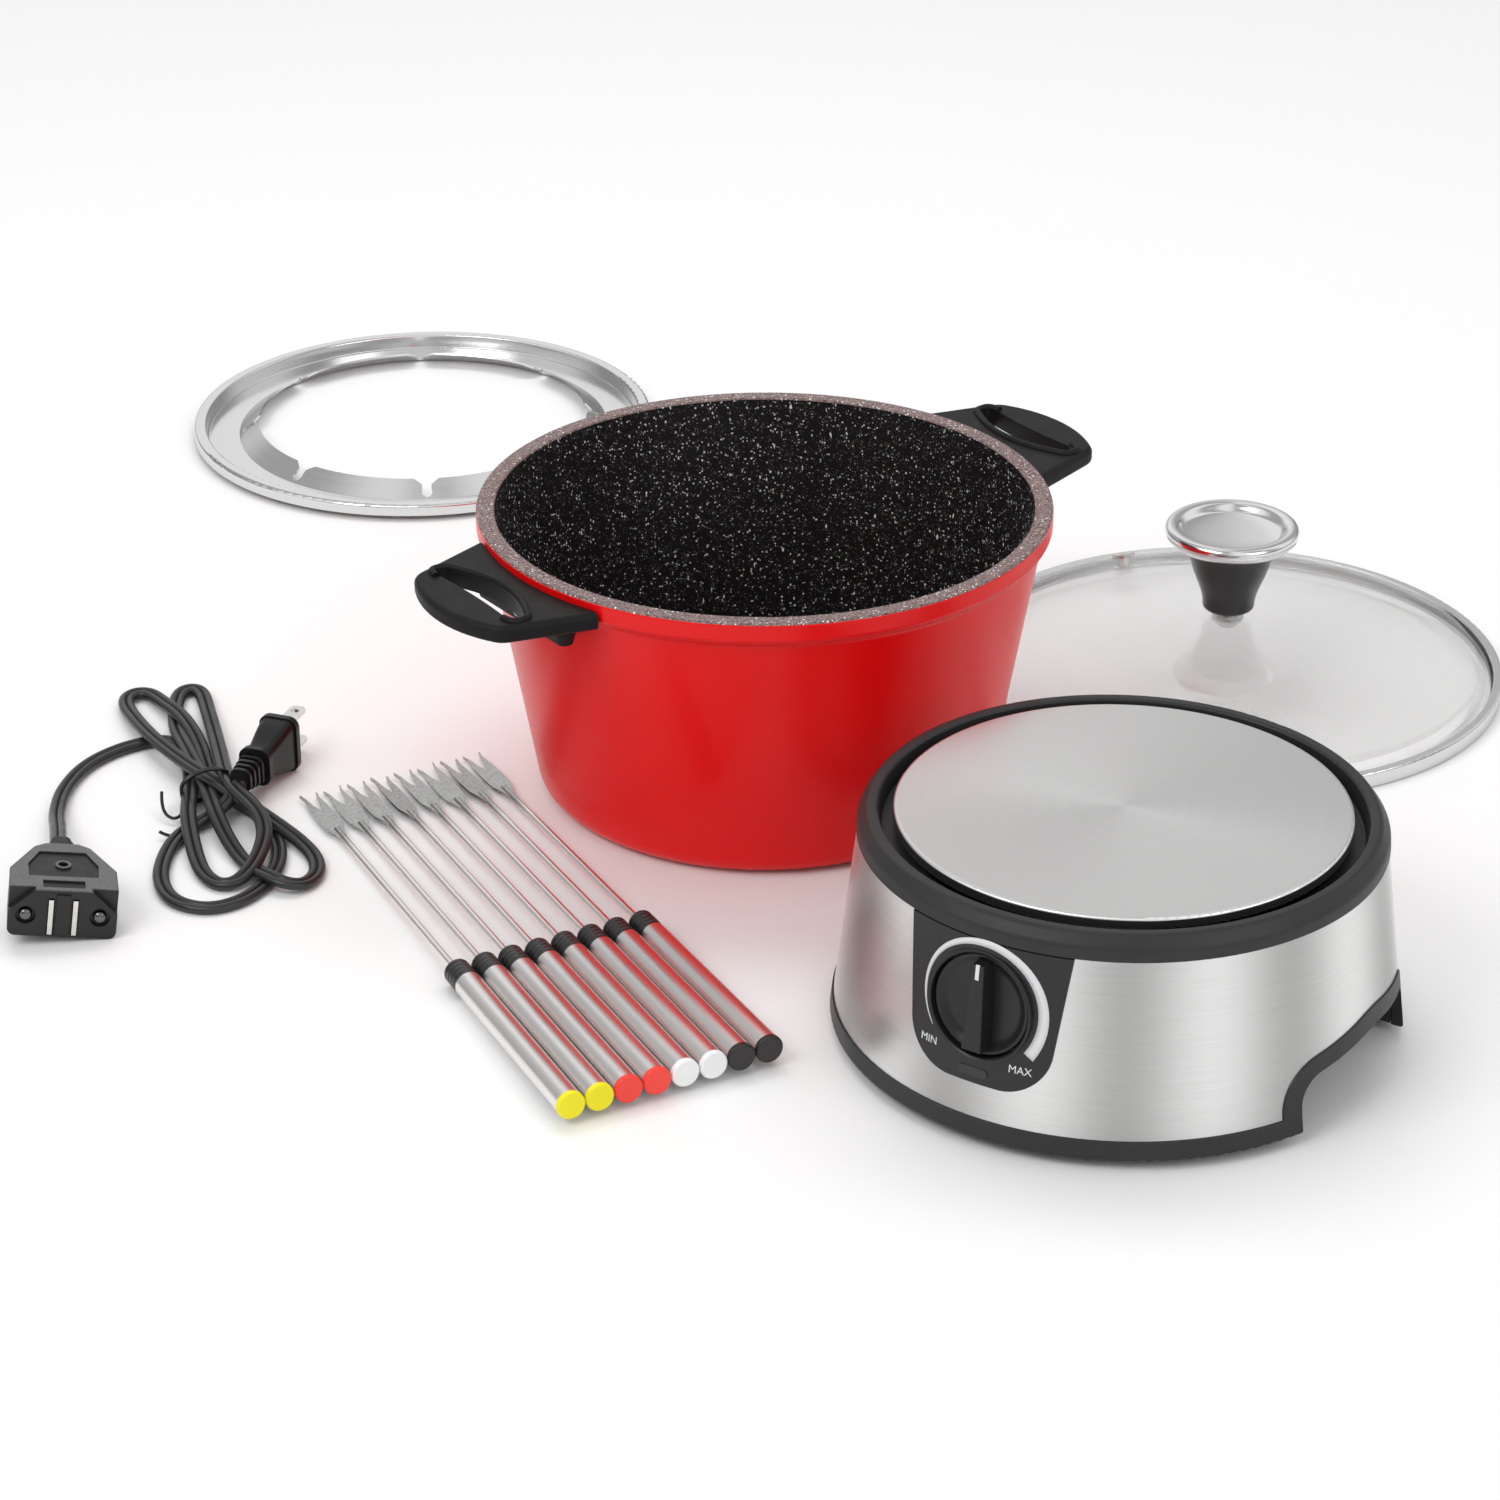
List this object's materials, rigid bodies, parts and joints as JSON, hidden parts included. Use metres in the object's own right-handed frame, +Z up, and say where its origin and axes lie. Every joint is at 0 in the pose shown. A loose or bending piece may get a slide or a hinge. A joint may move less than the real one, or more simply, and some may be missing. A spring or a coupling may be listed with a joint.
{
  "type": "electric fondue set",
  "caption": "Electric fondue set: red non-stick pot, glass lid, steel fork ring, heater base with a dial, long forks and a cord set with a magnetic-style connector.",
  "frame": {"origin": "on the pot's axis, at its underside, on the table", "axes": "+Z up; +X to the right and +Y away, as the set is laid out, seen from the forks' coloured ends"},
  "size_m": [0.5807, 0.7461, 0.1152],
  "materials": {
    "brushed_shell": "brushed round the shell",
    "spun_aluminium": "spun, with concentric turning marks",
    "steel": "satin stainless steel",
    "polished_steel": "polished stainless steel",
    "red_enamel": "gloss red outside, speckled black non-stick inside",
    "black_plastic": "fine matt texture",
    "gloss_black": "smooth semi-gloss",
    "black_rubber": "matt",
    "black_pvc": "flexible cord sheath, satin",
    "brass": "nickelled brass contacts",
    "clear_glass": "clear tempered glass",
    "lens": "smoked lens",
    "yellow_cap": "gloss",
    "red_cap": "gloss",
    "white_cap": "gloss"
  },
  "bodies": {
    "base": {"base_skirt": "brushed_shell", "top_collar": "black_plastic", "bottom_trim": "black_plastic", "base_pan": "black_plastic", "heating_plate": "spun_aluminium", "heating_element": "steel", "heat_shield": "steel", "control_panel": "gloss_black", "thermostat_body": "black_plastic", "indicator_light": "lens", "feet": "black_rubber", "base_screws": "steel", "inlet_socket": "black_plastic", "inlet_contacts": "brass", "inlet_keepers": "steel"},
    "dial": {"knob": "black_plastic", "thermostat_shaft": "steel"},
    "pot": {"pot_body": "red_enamel", "handle_front": "black_plastic", "handle_back": "black_plastic", "handle_screws": "steel"},
    "lid": {"lid_glass": "clear_glass", "lid_band": "steel", "lid_knob_stem": "gloss_black", "lid_knob_cap": "polished_steel", "lid_screw": "steel", "vent_eyelet": "polished_steel"},
    "fork_ring": {"fork_ring": "polished_steel"},
    "cord_set": {"connector_shell": "black_plastic", "connector_contacts": "brass", "connector_magnets": "steel", "cord_tube": "black_pvc", "cord_hank": "black_pvc", "twist_tie": "black_pvc", "plug_body": "black_pvc", "plug_blades": "brass"},
    "fork_1": {"fork_1_steel": "steel", "fork_1_ferrule": "black_plastic", "fork_1_cap": "yellow_cap"},
    "fork_2": {"fork_2_steel": "steel", "fork_2_ferrule": "black_plastic", "fork_2_cap": "yellow_cap"},
    "fork_3": {"fork_3_steel": "steel", "fork_3_ferrule": "black_plastic", "fork_3_cap": "red_cap"},
    "fork_4": {"fork_4_steel": "steel", "fork_4_ferrule": "black_plastic", "fork_4_cap": "red_cap"},
    "fork_5": {"fork_5_steel": "steel", "fork_5_ferrule": "black_plastic", "fork_5_cap": "white_cap"},
    "fork_6": {"fork_6_steel": "steel", "fork_6_ferrule": "black_plastic", "fork_6_cap": "white_cap"},
    "fork_7": {"fork_7_steel": "steel", "fork_7_ferrule": "black_plastic", "fork_7_cap": "black_plastic"},
    "fork_8": {"fork_8_steel": "steel", "fork_8_ferrule": "black_plastic", "fork_8_cap": "black_plastic"}
  },
  "joints": [
    {"name": "dial_turn", "type": "hinge", "parent": "base", "child": "dial", "pos_m": [0.06935, -0.26945, 0.051], "axis": [-0.555, -0.8228, 0.1223], "range_deg": [-128, 128]},
    {"name": "pot_lift", "type": "slide", "parent": "base", "child": "pot", "axis": [0, 0, 1], "range_m": [0, 0.2]},
    {"name": "lid_lift", "type": "slide", "parent": "base", "child": "lid", "axis": [0.6127, 0.2741, 0.7413], "range_m": [0, 0.25]},
    {"name": "fork_ring_lift", "type": "slide", "parent": "base", "child": "fork_ring", "axis": [0, 0, 1], "range_m": [0, 0.15]},
    {"name": "cord_set_lift", "type": "slide", "parent": "base", "child": "cord_set", "axis": [0, 0, 1], "range_m": [0, 0.1]},
    {"name": "fork_1_pull", "type": "slide", "parent": "base", "child": "fork_1", "axis": [0.4237, -0.9055, 0.022], "range_m": [0, 0.12]},
    {"name": "fork_2_pull", "type": "slide", "parent": "base", "child": "fork_2", "axis": [0.4268, -0.9041, 0.022], "range_m": [0, 0.12]},
    {"name": "fork_3_pull", "type": "slide", "parent": "base", "child": "fork_3", "axis": [0.4299, -0.9026, 0.022], "range_m": [0, 0.12]},
    {"name": "fork_4_pull", "type": "slide", "parent": "base", "child": "fork_4", "axis": [0.4331, -0.9011, 0.022], "range_m": [0, 0.12]},
    {"name": "fork_5_pull", "type": "slide", "parent": "base", "child": "fork_5", "axis": [0.4362, -0.8996, 0.022], "range_m": [0, 0.12]},
    {"name": "fork_6_pull", "type": "slide", "parent": "base", "child": "fork_6", "axis": [0.4393, -0.8981, 0.022], "range_m": [0, 0.12]},
    {"name": "fork_7_pull", "type": "slide", "parent": "base", "child": "fork_7", "axis": [0.4425, -0.8965, 0.022], "range_m": [0, 0.12]},
    {"name": "fork_8_pull", "type": "slide", "parent": "base", "child": "fork_8", "axis": [0.4456, -0.8949, 0.022], "range_m": [0, 0.12]}
  ]
}
